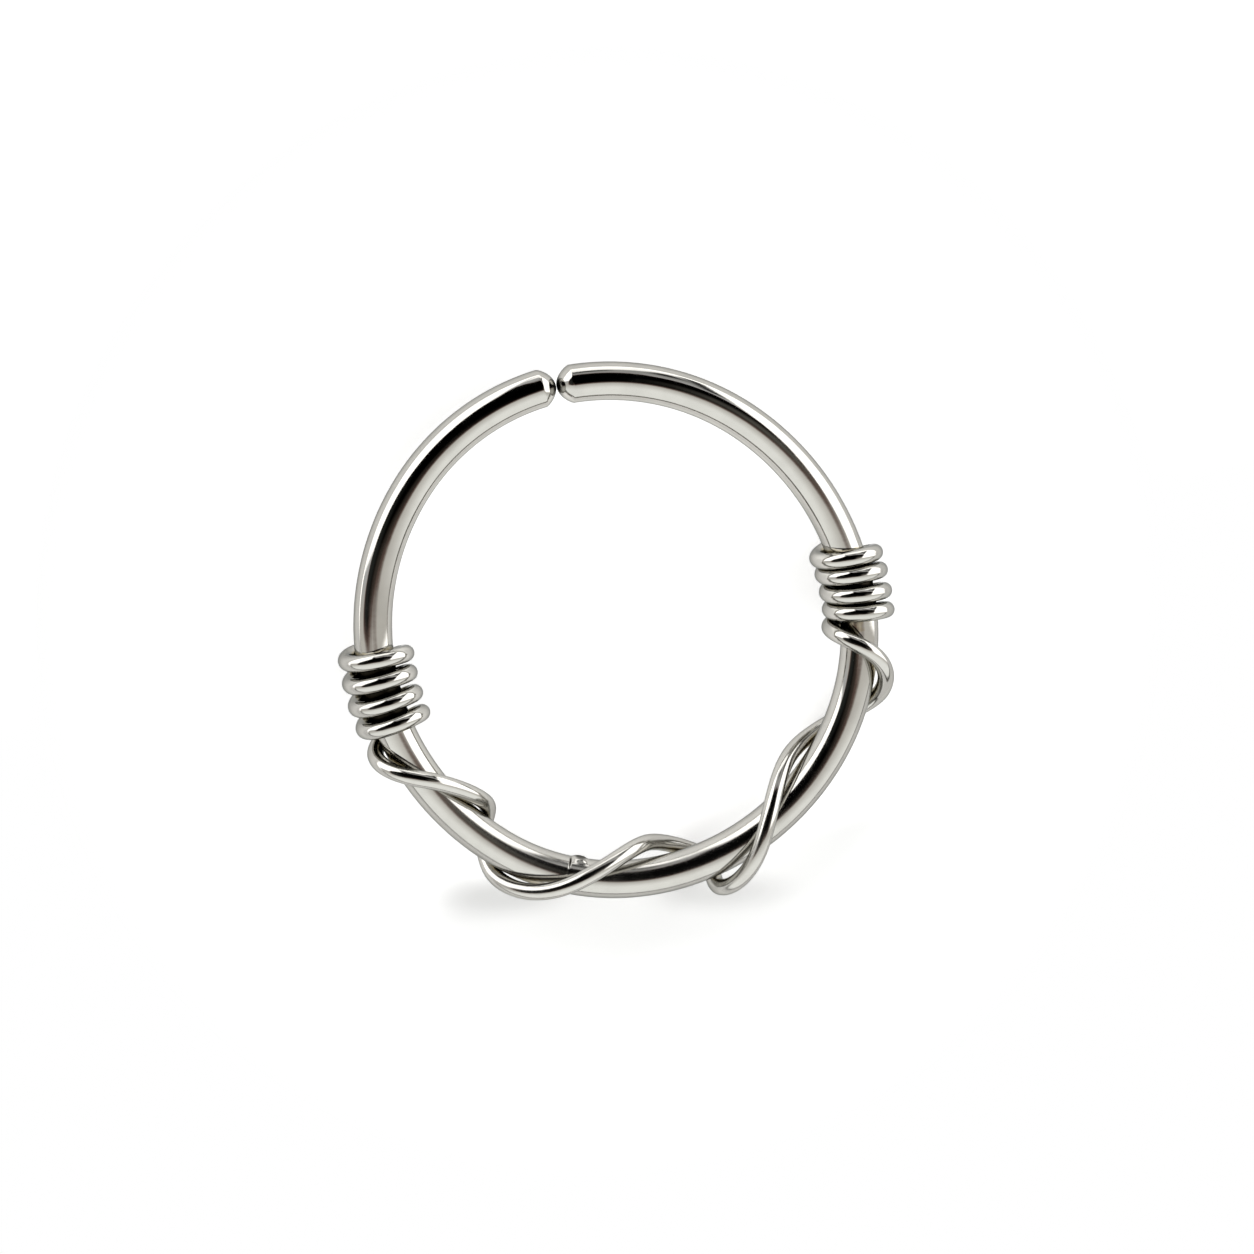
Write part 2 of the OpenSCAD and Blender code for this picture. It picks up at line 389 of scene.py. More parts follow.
class WrapLine:
    """The wrapped wire's middle line, round the hoop's wire as it goes along it."""

    def __init__(self, line, wrap):
        self.line = line
        self.wrap = wrap
        self.wire_r = wrap.wire_d / 2
        self.tight_r = line.wire_r + wrap.tight_gap + self.wire_r
        left_twist = (wrap.left_lean - wrap.left_last_lean) / LEFT_COUNTS[0]
        right_twist = 2 * wrap.right_lean / (RIGHT_COUNTS[-1] - RIGHT_COUNTS[0])
        left = self.coil(LEFT_COUNTS, LEFT_COIL_AT, wrap.left_turn_gap, left_twist)
        right = self.coil(RIGHT_COUNTS, RIGHT_COIL_AT, wrap.right_turn_gap, right_twist)
        spiral = [(turn, place, gap * MM) for turn, place, gap in SPIRAL]
        self.rows = left[::-1] + spiral + right

    def coil(self, counts, at, gap, twist):
        """A tight coil's rows: its turns keep their spacing on the hoop's inner side."""
        step = self.wrap.wire_d + gap
        rows = [(counts[0], at, self.wrap.tight_gap)]
        for before, after in zip(counts, counts[1:]):
            inner_r = self.line.bend_r(self.line.bend_at(at)) - self.tight_r
            at += (after - before) * (degrees(step / inner_r) - twist)
            rows.append((after, at, self.wrap.tight_gap))
        return rows

    def slope(self, i, column):
        low = self.rows[max(0, i - 1)]
        high = self.rows[min(len(self.rows) - 1, i + 1)]
        return (high[column] - low[column]) / (high[TURN] - low[TURN])

    def smooth(self, turn, column):
        """A smooth curve through the rows of one column."""
        i = 0
        while i < len(self.rows) - 2 and self.rows[i + 1][TURN] <= turn:
            i += 1
        step = self.rows[i + 1][TURN] - self.rows[i][TURN]
        share = (turn - self.rows[i][TURN]) / step
        return (
            (2 * share ** 3 - 3 * share ** 2 + 1) * self.rows[i][column]
            + (share ** 3 - 2 * share ** 2 + share) * step * self.slope(i, column)
            + (3 * share ** 2 - 2 * share ** 3) * self.rows[i + 1][column]
            + (share ** 3 - share ** 2) * step * self.slope(i + 1, column)
        )

    def place(self, turn):
        """How far round the hoop the wire is, in degrees."""
        wrap = self.wrap
        left_end, first_end = LEFT_COUNTS[0], LEFT_COUNTS[-1]
        right_start, right_end = RIGHT_COUNTS[0], RIGHT_COUNTS[-1]
        lean = wrap.left_lean + (wrap.left_last_lean - wrap.left_lean) * share_between(turn, 0, left_end)
        lean -= wrap.left_last_lean * share_between(turn, left_end, left_end + LEAN_FADES)
        comes_in = share_between(turn, right_start - 1, right_start)
        turns_over = share_between(turn, right_start, right_end)
        lean += wrap.right_lean * (comes_in - 2 * turns_over)
        bend = wrap.first_end_bend * share_between(turn, 0, first_end) ** 2
        return self.smooth(turn, PLACE) + lean * cos(2 * pi * turn) + bend

    def point(self, turn):
        outward, upward = cos(2 * pi * turn), sin(2 * pi * turn)
        slack = self.wrap.left_slack * max(0.0, -outward) ** 2
        if turn > LEFT_COUNTS[0] + SLACK_LASTS:
            slack = 0.0
        out = self.line.wire_r + self.smooth(turn, GAP) + slack + self.wire_r
        angle = self.place(turn)
        return self.line.point(angle) + out * (outward * toward(angle) + Vector((0, 0, upward)))


# Sizes and colours that a user would change
def length(name, description, default):
    return bpy.props.FloatProperty(
        name=name,
        description=description,
        default=default,
        min=0.0,
        precision=6,
        subtype="DISTANCE",
        unit="LENGTH",
    )


def sweep(name, description, default):
    return bpy.props.FloatProperty(name=name, description=description, default=default)


def amount(name, description, default):
    return bpy.props.FloatProperty(name=name, description=description, default=default, min=0.0)


def tint(name, description, default):
    return bpy.props.FloatVectorProperty(
        name=name, description=description, default=default, min=0.0, size=3, subtype="COLOR"
    )


class RingHoopSizes(bpy.types.PropertyGroup):
    """Sizes of the hoop"""

    mean_d: length("Mean diameter", "Diameter of the hoop's middle line", 13 * MM)
    wire_d: length("Wire", "Diameter of the hoop's round wire", HOOP_HIGH[2] - HOOP_LOW[2])
    height: length("Height", "Height of the middle line over the floor", (HOOP_HIGH[2] + HOOP_LOW[2]) / 2)
    dome_h: length("Dome", "How far each domed end stands out from its rim", 0.38 * MM)
    end_gap: length("Opening", "Clear space between the domed ends", 0.03 * MM)
    seam_at: sweep("Seam place", "Degrees round the hoop to the seam line", 255.4)
    seam_w: length("Seam width", "Width of the seam line", 0.05 * MM)
    seam_depth: length("Seam depth", "Depth of the seam line", 0.024 * MM)
    bead_at: sweep("Bead place", "Degrees round the hoop to the middle of the solder bead", 258.2)
    bead_l: length("Bead length", "Length of the solder bead", 0.52 * MM)
    bead_h: length("Bead height", "How far the bead stands out of the hoop's inner side", 0.08 * MM)


class RingWrapSizes(bpy.types.PropertyGroup):
    """Sizes of the wrapped wire"""

    wire_d: length("Wire", "Diameter of the wrapped wire", 0.44 * MM)
    tight_gap: length("Tight gap", "Clear space between the hoop and a tight turn", 0.02 * MM)
    left_turn_gap: length("Left turns apart", "Clear space between the left coil's turns", 0.12 * MM)
    right_turn_gap: length("Right turns apart", "Clear space between the right coil's turns", 0.015 * MM)
    left_slack: length("Left slack", "Extra space of the left coil's turns on the inner side", 0.07 * MM)
    left_lean: sweep("Left lean", "Tilt of the left coil's first turn in degrees of hoop", 1.35)
    left_last_lean: sweep("Left last lean", "Tilt of the left coil's last turn in degrees of hoop", 0.55)
    first_end_bend: sweep("First end's bend", "Degrees that the hidden first end bends back", 1.2)
    right_lean: sweep("Right lean", "Tilt of the right coil's first turn in degrees of hoop", 0.5)


class RingFinish(bpy.types.PropertyGroup):
    """Colours and polish of the steel, its painted shade and warm reflection, and the light, some of it
    painted on the floor
    """

    hoop_colour: tint("Hoop steel", "Colour of the hoop's polished steel", (0.475, 0.462, 0.43))
    wrap_colour: tint("Wrap steel", "Colour of the wrapped wire's polished steel", (0.485, 0.472, 0.44))
    edge_colour: tint("Edge tint", "How the steel darkens where it is seen edge on", (0.4, 0.41, 0.41))
    # Painted colours, not the steel's own: a warm reflection round the crevices, and the shade deep in them
    painted_warm_reflection_colour: tint("Straw tint", "Tint round the places that polishing can't reach", (0.4, 0.345, 0.22))
    painted_shade_colour: tint("Soot", "Colour deep in the places that polishing can't reach", (0.012, 0.01, 0.007))
    polish: amount("Roughness", "Roughness of clean polished steel", 0.07)
    wear: amount("Wear", "How much rougher the lower half is, where the ring rubs", 0.075)
    floor_colour: tint("Floor", "Colour of the floor", (0.85, 0.85, 0.85))
    floor_glow: amount("Floor glow", "Light that comes up through the floor", 0.27)
    floor_far: amount("Floor far", "More light through the floor well away from the ring", 0.73)
    # Painted pools of light on the floor round the ring, inside it and far behind its top
    floor_near: amount("Floor near", "More light through the floor round the ring's sides and top", 0.22)
    floor_inside: amount("Floor inside", "More light through the floor inside the ring's lower half", 0.15)
    floor_pool: amount("Floor pool", "More light through the floor inside the ring's upper half", 0.45)
    floor_back: amount("Floor back", "More light through the floor far behind the ring's top", 1.7)
    table_far: tint("Far table glow", "Light from the table, level with the camera", (0.85, 0.83, 0.79))
    table_near: tint("Near table glow", "Light from the table, below the ring", (1.5, 1.53, 1.52))
    room: tint("Room", "Light from the room between the panels", (0.75, 0.76, 0.78))


# Shader maths
class Socket:
    """A shader value that Python's own arithmetic works on."""

    def __init__(self, shader, link):
        self.shader = shader
        self.link = link

    def maths(self, operation, *values):
        node = self.shader.add("ShaderNodeMath", {"operation": operation}, dict(enumerate(values)))
        return Socket(self.shader, node.outputs[0])

    def __add__(self, other):
        return self.maths("ADD", self, other)

    def __radd__(self, other):
        return self.maths("ADD", other, self)

    def __sub__(self, other):
        return self.maths("SUBTRACT", self, other)

    def __rsub__(self, other):
        return self.maths("SUBTRACT", other, self)

    def __mul__(self, other):
        return self.maths("MULTIPLY", self, other)

    def __rmul__(self, other):
        return self.maths("MULTIPLY", other, self)

    def __truediv__(self, other):
        return self.maths("DIVIDE", self, other)

    def __rtruediv__(self, other):
        return self.maths("DIVIDE", other, self)

    def __pow__(self, other):
        return self.maths("POWER", self, other)

    def __abs__(self):
        return self.maths("ABSOLUTE", self)


class Shader:
    """A material's or the world's nodes, emptied and built anew."""

    def __init__(self, owner):
        owner.use_nodes = True
        self.tree = owner.node_tree
        self.tree.nodes.clear()

    def add(self, kind, settings=None, values=None):
        """Adds a node: its settings first, then the values or links of its sockets."""
        node = self.tree.nodes.new(kind)
        for name, value in (settings or {}).items():
            if name == "stops":
                self.set_stops(node.color_ramp, value)
            else:
                setattr(node, name, value)
        for name, value in (values or {}).items():
            socket = node.inputs[name]
            if isinstance(value, Socket):
                self.tree.links.new(value.link, socket)
            else:
                socket.default_value = value
        return node

    def set_stops(self, ramp, stops):
        for i, (at, grey) in enumerate(stops):
            element = ramp.elements[i] if i < len(ramp.elements) else ramp.elements.new(at)
            element.position = at
            element.color = (grey, grey, grey, 1.0)

    def out(self, kind, output, settings=None, values=None):
        """The named output of a new node, ready for arithmetic."""
        return Socket(self, self.add(kind, settings, values).outputs[output])

    def vector(self, operation, first, second, output="Vector"):
        values = {0: first, 1: second}
        return self.out("ShaderNodeVectorMath", output, {"operation": operation}, values)

    def blend(self, share, first, second):
        settings = {"data_type": "RGBA", "clamp_factor": True}
        return self.out("ShaderNodeMix", 2, settings, {0: share, 6: first, 7: second})

    def step(self, value, start, end):
        """0 before start and 1 after end, with a smooth change between them."""
        settings = {"interpolation_type": "SMOOTHSTEP"}
        values = {"Value": value, "From Min": start, "From Max": end}
        return self.out("ShaderNodeMapRange", "Result", settings, values)

    def noise(self, vector, cells, detail):
        values = {"Vector": vector, "Scale": cells, "Detail": detail}
        return self.out("ShaderNodeTexNoise", "Fac", None, values)

    def attribute(self, name):
        return self.out("ShaderNodeAttribute", "Fac", {"attribute_name": name})


def rgba(colour, share=1.0):
    return (colour[0] * share, colour[1] * share, colour[2] * share, 1.0)


def steel(name, colour, finish, lines_round, shade_from):
    """Polished steel wire: faint lines along it from drawing and polishing, small duller places, and
    painted shade and warm reflection in its crevices.
    """
    material = bpy.data.materials.new(name)
    nodes = Shader(material)
    spot = nodes.out("ShaderNodeTexCoord", "Object")
    wire_uv = nodes.out("ShaderNodeUVMap", "UV", {"uv_map": "wire"})
    stretch = nodes.vector("MULTIPLY", wire_uv, (LINES_ALONG, lines_round, 1.0))
    lines = nodes.noise(stretch, *DRAWN_LINES)
    waves = nodes.noise(spot, *WAVES)
    haze = nodes.noise(spot, *HAZE)
    dents = nodes.noise(spot, *DENTS)
    grain = nodes.noise(spot, *GRAIN)
    smudge = nodes.step(haze, *SMUDGES)
    up = nodes.vector("DOT_PRODUCT", spot, (0.0, 1 / MM, 0.0), "Value")
    worn = nodes.step(up, *WORN_UP)
    roughness = finish.polish + finish.wear * worn + SMUDGE_ROUGH * smudge + LINE_ROUGH * (lines - 0.5)
    hazy = nodes.step(haze, *HAZE_DARKENS) * HAZE_SHARE
    base = nodes.blend(hazy, rgba(colour), rgba(colour, HAZE_SHADE))
    # Painted shade deep in the crevices between the wires, and a painted warm reflection round it, grown
    # from shelter
    shelter = nodes.attribute("shelter")
    # Painted shade in the open seam and where the domed ends meet, and a painted dark reflection on the
    # bead's top
    painted_dark = nodes.attribute("painted_dark")
    painted_shade = nodes.step(shelter, shade_from, shade_from + PAINTED_SHADE_RISE)
    painted_shade = painted_shade.maths("MAXIMUM", painted_shade, painted_dark)
    painted_warm_reflection = nodes.step(shelter, shade_from - WARM_REFLECTION_RISE, shade_from) * WARM_REFLECTION_SHARE
    base = nodes.blend(painted_warm_reflection, base, rgba(finish.painted_warm_reflection_colour))
    base = nodes.blend(painted_shade, base, rgba(finish.painted_shade_colour))
    roughness = roughness + PAINTED_SHADE_ROUGH * painted_shade
    height = waves * WAVE_HEIGHT + dents * DENT_HEIGHT + grain * GRAIN_HEIGHT + lines * LINE_HEIGHT
    relief = {"Strength": 1.0, "Distance": MICROMETRE, "Height": height}
    bump = nodes.out("ShaderNodeBump", "Normal", None, relief)
    surface = {
        "Base Color": base,
        "Metallic": 1.0,
        "Roughness": roughness,
        "Specular Tint": rgba(finish.edge_colour),
        "Normal": bump,
    }
    shader = nodes.out("ShaderNodeBsdfPrincipled", "BSDF", None, surface)
    nodes.add("ShaderNodeOutputMaterial", None, {"Surface": shader})
    return material


# Modelling helpers
def nothing_selected():
    if bpy.context.object and bpy.context.object.mode != "OBJECT":
        bpy.ops.object.mode_set(mode="OBJECT")
    bpy.ops.object.select_all(action="DESELECT")


def select_points(piece, test):
    """Selects the points that pass a test, in edit mode."""
    bpy.ops.mesh.select_all(action="DESELECT")
    bpy.ops.object.mode_set(mode="OBJECT")
    for vertex in piece.data.vertices:
        vertex.select = test(vertex.co)
    bpy.ops.object.mode_set(mode="EDIT")


def point_attribute(piece, name, values):
    layer = piece.data.attributes.new(name, "FLOAT", "POINT")
    layer.data.foreach_set("value", values)


def wire_map(piece, place):
    """The UV map "wire": along the wire and round it, in millimetres."""
    layer = piece.data.uv_layers.get("wire") or piece.data.uv_layers.new(name="wire")
    places = [place(vertex) for vertex in piece.data.vertices]
    for face in piece.data.polygons:
        rounds = [places[piece.data.loops[loop].vertex_index][1] for loop in face.loop_indices]
        wraps = max(rounds) - min(rounds) > 0.5
        for loop, turn in zip(face.loop_indices, rounds):
            along, _, girth = places[piece.data.loops[loop].vertex_index]
            layer.data[loop].uv = (along, (turn + 1.0 if wraps and turn < 0.5 else turn) * girth)


def fan(count):
    """Directions spread evenly over a ball."""
    golden = pi * (3 - sqrt(5))
    for i in range(count):
        height = 1 - (2 * i + 1) / count
        flat = sqrt(1 - height * height)
        yield Vector((flat * cos(golden * i), flat * sin(golden * i), height))


def mark_shelter(pieces):
    """The attribute "shelter": the share of the space before a point that the ring itself covers."""
    points, faces = [], []
    for piece in pieces:
        first = len(points)
        points += [vertex.co.copy() for vertex in piece.data.vertices]
        faces += [[first + i for i in face.vertices] for face in piece.data.polygons]
    tree = BVHTree.FromPolygons(points, faces)
    ways = list(fan(SHELTER_WAYS))
    for piece in pieces:
        shares = []
        for vertex in piece.data.vertices:
            normal = vertex.normal
            start = vertex.co + normal * SHELTER_START
            covered = 0
            for way in ways:
                facing = way if way.dot(normal) > 0 else -way
                covered += tree.ray_cast(start, facing, SHELTER_REACH)[0] is not None
            shares.append(covered / SHELTER_WAYS)
        point_attribute(piece, "shelter", shares)


def finish_piece(piece, name, material, node):
    """Outward faces, smooth shading, and the piece's place in the frame."""
    bpy.ops.object.mode_set(mode="EDIT")
    bpy.ops.mesh.select_all(action="SELECT")
    bpy.ops.mesh.remove_doubles(threshold=SAME_POINT)
    bpy.ops.mesh.normals_make_consistent(inside=False)
    bpy.ops.object.mode_set(mode="OBJECT")
    bpy.ops.object.shade_smooth()
    piece.name = name
    piece.data.name = name
    piece.data.materials.clear()
    piece.data.materials.append(material)
    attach(piece, "root")
    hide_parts(node)


class RING_OT_hoop(bpy.types.Operator):
    """Model the hoop, its domed ends, its seam and its bead"""

    bl_idname = "ring.hoop"
    bl_label = "Hoop"
    sides = 96

    def execute(self, context):
        hoop = context.scene.ring_hoop
        line = HoopLine(hoop)
        rounding = line.degrees_of(RIM_ROUNDING)
        start, end = line.left_rim + rounding, line.right_rim - rounding
        piece = self.bent_wire(hoop, line, start, end)
        self.dome(hoop, line, line.right_rim, 1)
        self.select_ring(piece, line, start)
        self.dome(hoop, line, line.left_rim, -1)
        bpy.ops.object.mode_set(mode="OBJECT")
        self.seam_and_bead(piece, hoop, line)
        wire_map(piece, lambda vertex: self.place_on_wire(line, vertex.co))
        finish = context.scene.ring_finish
        metal = steel("hoop_polished_steel", finish.hoop_colour, finish, HOOP_LINES, HOOP_SHADE_FROM)
        finish_piece(piece, "polished_hoop", metal, "hoop")
        return {"FINISHED"}

    def bent_wire(self, hoop, line, start, end):
        """Spins a circle round one bend's centre after the other; the last ring stays selected."""
        nothing_selected()
        bpy.ops.mesh.primitive_circle_add(
            vertices=self.sides,
            radius=line.wire_r,
            location=line.point(start),
            rotation=(pi / 2, 0.0, radians(start)),
            enter_editmode=False,
        )
        piece = bpy.context.object
        bpy.ops.object.transform_apply(location=True, rotation=True, scale=True)
        bpy.ops.object.mode_set(mode="EDIT")
        bpy.ops.mesh.select_all(action="SELECT")
        for i in range(len(BENDS)):
            bend_from = start if i == 0 else line.bend_start(i)
            bend_to = end if i == len(BENDS) - 1 else line.bend_start(i + 1)
            for low, high, step in self.stretches(hoop, line, bend_from, bend_to):
                bpy.ops.mesh.spin(
                    steps=ceil((high - low) / step),
                    angle=-radians(high - low),
                    center=line.centres[i] + line.lift,
                    axis=(0.0, 0.0, 1.0),
                )
        return piece

    def stretches(self, hoop, line, low, high):
        """Cuts a bend into stretches: rings lie close together at the seam and the bead."""
        seam = line.degrees_of(SEAM_RINGS * hoop.seam_w)
        bead = line.degrees_of(BEAD_RINGS * hoop.bead_l)
        marks = [
            (low, PLAIN_STEP),
            (hoop.seam_at - bead, NEAR_STEP),
            (hoop.seam_at - seam, SEAM_STEP),
            (hoop.seam_at + seam, NEAR_STEP),
            (hoop.bead_at + bead, PLAIN_STEP),
            (high, PLAIN_STEP),
        ]
        for (at, step), (to, _) in zip(marks, marks[1:]):
            at, to = max(low, at), min(high, to)
            if to - at > SHORTEST_STRETCH:
                yield at, to, step

    def select_ring(self, piece, line, angle):
        """Selects the wire's ring at an angle round the hoop."""
        middle, along = line.point(angle), onward(angle)

        def on_ring(point):
            off = point - middle
            return abs(off.dot(along)) < RING_PLANE and off.length < RING_REACH * line.wire_r

        select_points(piece, on_ring)

    def dome(self, hoop, line, rim, way):
        """Rounds the open end whose last ring is selected, as a cap between a ball's and a bowl's."""
        along = way * onward(rim)
        ball_r = (line.wire_r ** 2 + hoop.dome_h ** 2) / (2 * hoop.dome_h)
        rim_angle = asin(line.wire_r / ball_r)
        done, width = -RIM_ROUNDING, line.wire_r
        for i in range(DOME_RINGS + 1):
            angle = rim_angle * (1 - i / DOME_RINGS)
            radius = ball_r * sin(angle)
            ball = ball_r * cos(angle) - ball_r + hoop.dome_h
            bowl = hoop.dome_h * (1 - (radius / line.wire_r) ** 2)
            reach = ball + DOME_POINT * (bowl - ball)
            bpy.ops.mesh.extrude_region_move(TRANSFORM_OT_translate={"value": along * (reach - done)})
            if i < DOME_RINGS:
                centre = line.point(rim) + along * reach
                grow = radius / width
                bpy.ops.transform.resize(value=(grow, grow, grow), center_override=centre)
            else:
                bpy.ops.mesh.merge(type="CENTER")
            done, width = reach, radius

    def seam_and_bead(self, piece, hoop, line):
        """Sinks the seam, raises the bead on the inner side, paints shade in the seam and at the tips and a
        dark reflection on the bead.
        """
        painted_dark = [0.0] * len(piece.data.vertices)
        tips = (line.point(line.left_tip), line.point(line.right_tip))
        for vertex in piece.data.vertices:
            from_tip = min((vertex.co - tip).length for tip in tips)
            # Painted shade where the two domed ends meet
            painted_dark[vertex.index] = exp(-((from_tip / TIP_SHADE_REACH) ** 4))
            angle, turn, _ = self.polar(line, vertex.co)
            if abs(angle - hoop.seam_at) > SHAPED_NEAR:
                continue
            slant = SEAM_SLANT * (turn - SEAM_TOP)
            from_seam = radians(angle - hoop.seam_at - slant) * line.mean_r / hoop.seam_w
            from_bead = radians(angle - hoop.bead_at) * line.mean_r / (hoop.bead_l / 2)
            from_inside = abs(turn - BEAD_TOP) / BEAD_REACH
            open_part = exp(-(((turn - SEAM_TOP) / SEAM_REACH) ** 4))
            groove = exp(-((GROOVE_SHARPNESS * from_seam) ** 4))
            sink = hoop.seam_depth * (SEAM_CLOSED + (1 - SEAM_CLOSED) * open_part) * groove
            from_top = from_bead ** 2 + from_inside ** 2
            rise = BEAD_SHARE * hoop.bead_h * exp(-BEAD_FALL * from_top * from_top)
            away = (vertex.co - line.point(angle)).normalized()
            vertex.co += away * (rise - sink if rise < sink else rise)
            # Painted shade in the seam's open groove, and a painted dark reflection on the bead's top
            top = exp(-((from_top / BEAD_DARK_REACH) ** 4))
            painted_dark[vertex.index] = max(groove * open_part, BEAD_DARK_SHARE * top)
        point_attribute(piece, "painted_dark", painted_dark)

    def polar(self, line, point):
        """Degrees round the hoop, turn round its wire from the outer side, distance from its middle."""
        angle = degrees(atan2(point.y, point.x)) % 360
        for _ in range(PLACE_PASSES):
            on_left = angle > line.left_tip - SEARCH_MARGIN
            centre = line.centres[line.bend_at(angle if on_left else angle + 360)]
            angle = degrees(atan2(point.y - centre.y, point.x - centre.x)) % 360
        angle = angle if angle > line.left_tip - PLACE_MARGIN else angle + 360
        away = point - line.point(angle)
        turn = atan2(away.z, away.dot(toward(angle))) / (2 * pi) % 1.0
        return angle, turn, away.length

    def place_on_wire(self, line, point):
        angle, turn, out = self.polar(line, point)
        return radians(angle) * line.mean_r / MM, turn, 2 * pi * out / MM


class RING_OT_wrap(bpy.types.Operator):
    """Model the wrapped wire"""

    bl_idname = "ring.wrap"
    bl_label = "Wrapped wire"
    rings_per_turn = 72
    profile_points = 14

    def execute(self, context):
        wrap = context.scene.ring_wrap
        path = WrapLine(HoopLine(context.scene.ring_hoop), wrap)
        first, last = LEFT_COUNTS[-1], RIGHT_COUNTS[-1]
        count = ceil((last - first) * self.rings_per_turn)
        points = [path.point(first + i * (last - first) / count) for i in range(count + 1)]
        line, radii = self.clipped(points, path.wire_r)
        piece = self.round_wire(context, line, radii, path.wire_r)
        sides = len(piece.data.vertices) // len(line)
        along = [0.0]
        for before, after in zip(line, line[1:]):
            along.append(along[-1] + (after - before).length / MM)
        girth = pi * wrap.wire_d / MM

        def place_on_wire(vertex):
            ring, side = divmod(vertex.index, sides)
            return along[min(ring, len(line) - 1)], side / sides, girth

        wire_map(piece, place_on_wire)
        finish = context.scene.ring_finish
        metal = steel("wrap_polished_steel", finish.wrap_colour, finish, WRAP_LINES, WRAP_SHADE_FROM)
        finish_piece(piece, "wrapped_wire", metal, "wrap_wire")
        mark_shelter((bpy.data.objects["polished_hoop"], piece))
        return {"FINISHED"}

    def clipped(self, points, wire_r):
        """The line with its two clipped ends slightly rounded, and the radius at each point."""
        head = self.clipped_end(points[0], points[1], wire_r)[::-1]
        tail = self.clipped_end(points[-1], points[-2], wire_r)
        clear = CLIPPED_REACH * wire_r
        ends = (points[0], points[-1])
        middle = [(point, 1.0) for point in points if all((point - end).length > clear for end in ends)]
        rows = head + middle + tail
        return [place for place, _ in rows], [radius for _, radius in rows]

    def clipped_end(self, end, inner, wire_r):
        inward = (inner - end).normalized()
        return [(end + inward * back * wire_r, radius) for back, radius in CLIPPED_END]

    def round_wire(self, context, line, radii, wire_r):
        """A mesh of round wire along a line."""
        nothing_selected()
        curve = bpy.data.curves.new("wrapped_wire", "CURVE")
        curve.dimensions = "3D"
        curve.twist_mode = "MINIMUM"
        curve.bevel_depth = wire_r
        curve.bevel_resolution = self.profile_points
        curve.use_fill_caps = True
        spline = curve.splines.new("POLY")
        spline.points.add(len(line) - 1)
        for point, place, radius in zip(spline.points, line, radii):
            point.co = (*place, 1.0)
            point.radius = radius
        piece = bpy.data.objects.new("wrapped_wire", curve)
        context.collection.objects.link(piece)
        context.view_layer.objects.active = piece
        piece.select_set(True)
        bpy.ops.object.convert(target="MESH")
        return context.object


